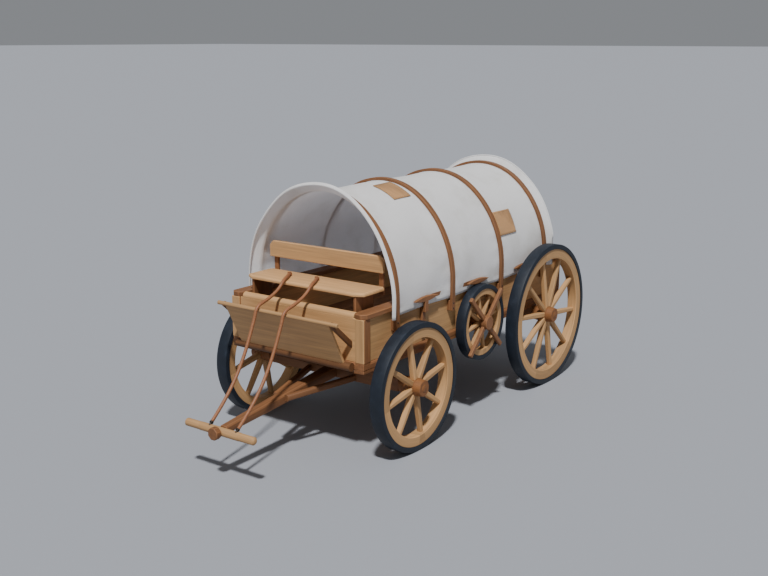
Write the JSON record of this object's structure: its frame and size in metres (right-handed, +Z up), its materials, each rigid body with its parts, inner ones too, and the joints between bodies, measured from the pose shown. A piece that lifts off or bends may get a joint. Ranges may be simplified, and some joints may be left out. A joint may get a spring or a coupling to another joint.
{
  "type": "covered wagon",
  "caption": "Four-wheeled covered wagon: plank box under a bowed canvas cover, driver's seat, steering forecarriage with a tongue and crossbar, and a spare wheel.",
  "frame": {"origin": "on the ground, under the middle of the whole length from the tongue tip to the back of the rear wheels, midway between the wheels", "axes": "+Z up, -Y towards the tongue, +X to the wagon's own left side"},
  "size_m": [1.864, 4.388, 2.1658],
  "materials": {
    "pale_wood": "planed, worn pale boards",
    "oak": "oiled reddish-brown timber",
    "tyre_iron": "dark blue-black, matt",
    "iron": "forged, greased",
    "canvas": "heavy off-white canvas",
    "rein_leather": "brown, oiled"
  },
  "bodies": {
    "box": {"floor": "oak", "ledge": "oak", "sills": "oak", "side_wall_left": "pale_wood", "side_wall_right": "pale_wood", "front_board": "pale_wood", "end_board": "pale_wood", "corner_posts": "oak", "corner_battens": "pale_wood", "top_rails": "oak", "cover": "canvas", "hoops": "oak", "hoop_blocks": "oak", "tie_cleats": "oak", "seat_board": "pale_wood", "seat_legs": "oak", "seat_stiles": "oak", "seat_back": "pale_wood", "footboard_rail": "pale_wood", "footboard": "pale_wood", "footboard_frame": "oak", "spare_tyre": "tyre_iron", "spare_wheel": "pale_wood", "spare_hub": "oak", "spare_clamp": "oak", "rear_axle": "oak", "bolsters": "oak", "kingpin": "iron", "reach": "oak", "floor_cleats": "oak", "rein_right": "rein_leather", "rein_left": "rein_leather", "rein_knots": "oak"},
    "forecarriage": {"front_axle": "oak", "sandboard": "oak", "lower_rub_plate": "iron", "tongue": "oak", "crossbar": "pale_wood", "hounds": "oak", "rein_eyes": "oak"},
    "front_left_wheel": {"front_left_tyre": "tyre_iron", "front_left_wheel": "pale_wood", "front_left_hub": "oak"},
    "front_right_wheel": {"front_right_tyre": "tyre_iron", "front_right_wheel": "pale_wood", "front_right_hub": "oak"},
    "rear_left_wheel": {"rear_left_tyre": "tyre_iron", "rear_left_wheel": "pale_wood", "rear_left_hub": "oak"},
    "rear_right_wheel": {"rear_right_tyre": "tyre_iron", "rear_right_wheel": "pale_wood", "rear_right_hub": "oak"}
  },
  "joints": [
    {"name": "steering", "type": "hinge", "parent": "box", "child": "forecarriage", "pos_m": [0, -0.719, 0.672], "axis": [0, 0, 1], "range_deg": [-7, 7], "deforming": ["rein_left", "rein_right"]},
    {"name": "front_left_roll", "type": "hinge", "parent": "forecarriage", "child": "front_left_wheel", "pos_m": [0.833, -0.719, 0.54], "axis": [1, 0, 0], "continuous": true},
    {"name": "front_right_roll", "type": "hinge", "parent": "forecarriage", "child": "front_right_wheel", "pos_m": [-0.833, -0.719, 0.54], "axis": [1, 0, 0], "continuous": true},
    {"name": "rear_left_roll", "type": "hinge", "parent": "box", "child": "rear_left_wheel", "pos_m": [0.833, 1.508, 0.686], "axis": [1, 0, 0], "continuous": true},
    {"name": "rear_right_roll", "type": "hinge", "parent": "box", "child": "rear_right_wheel", "pos_m": [-0.833, 1.508, 0.686], "axis": [1, 0, 0], "continuous": true}
  ]
}
